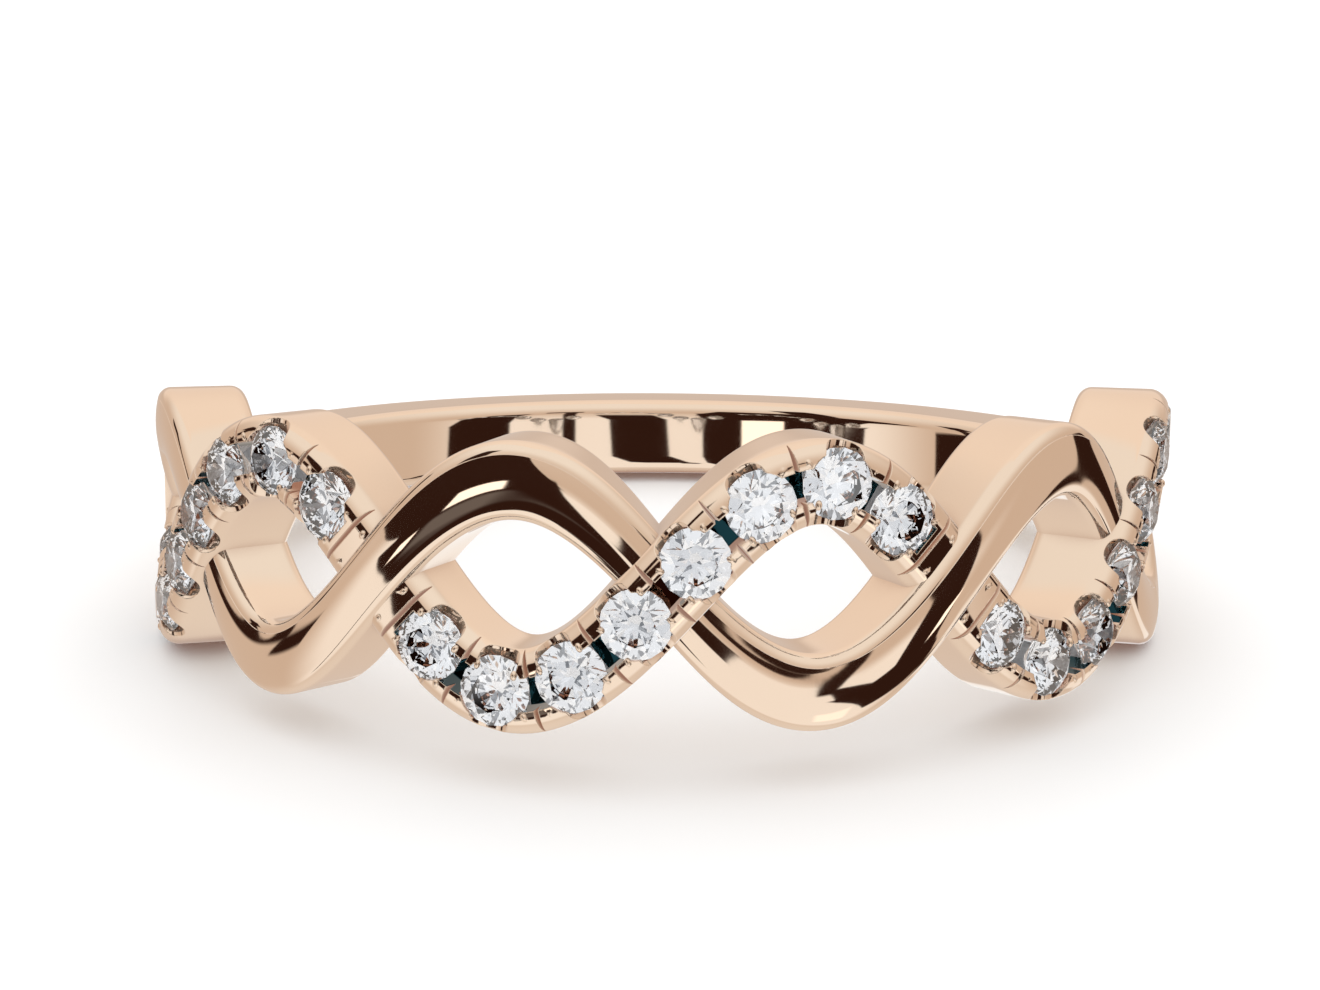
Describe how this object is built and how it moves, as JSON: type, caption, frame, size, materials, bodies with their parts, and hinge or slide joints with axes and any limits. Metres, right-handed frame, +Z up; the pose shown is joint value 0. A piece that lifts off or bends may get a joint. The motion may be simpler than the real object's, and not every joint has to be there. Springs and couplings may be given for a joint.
{
  "type": "infinity ring",
  "caption": "Finger ring with a plain strand and a strand set with round stones that weave over its front half, joined by a plain shank; it lies on its side.",
  "frame": {"origin": "on the surface that the ring lies on, under the middle of its box", "axes": "+Z up from that surface; -Y is the front of the woven head; +X to the right seen from the front. The axis of the finger hole leans back from +Z by the ring's resting tilt of about 7.7 degrees"},
  "size_m": [0.0206, 0.0209, 0.0061],
  "materials": {
    "rose_gold": "polished",
    "stone": "faceted and polished"
  },
  "bodies": {
    "root": {"band": "rose_gold", "stone_01": "stone", "stone_02": "stone", "stone_03": "stone", "stone_04": "stone", "stone_05": "stone", "stone_06": "stone", "stone_07": "stone", "stone_08": "stone", "stone_09": "stone", "stone_10": "stone", "stone_11": "stone", "stone_12": "stone", "stone_13": "stone", "stone_14": "stone", "stone_15": "stone", "stone_16": "stone", "stone_17": "stone", "stone_18": "stone", "stone_19": "stone", "stone_20": "stone", "stone_21": "stone", "stone_22": "stone", "stone_23": "stone", "stone_24": "stone"}
  },
  "joints": []
}
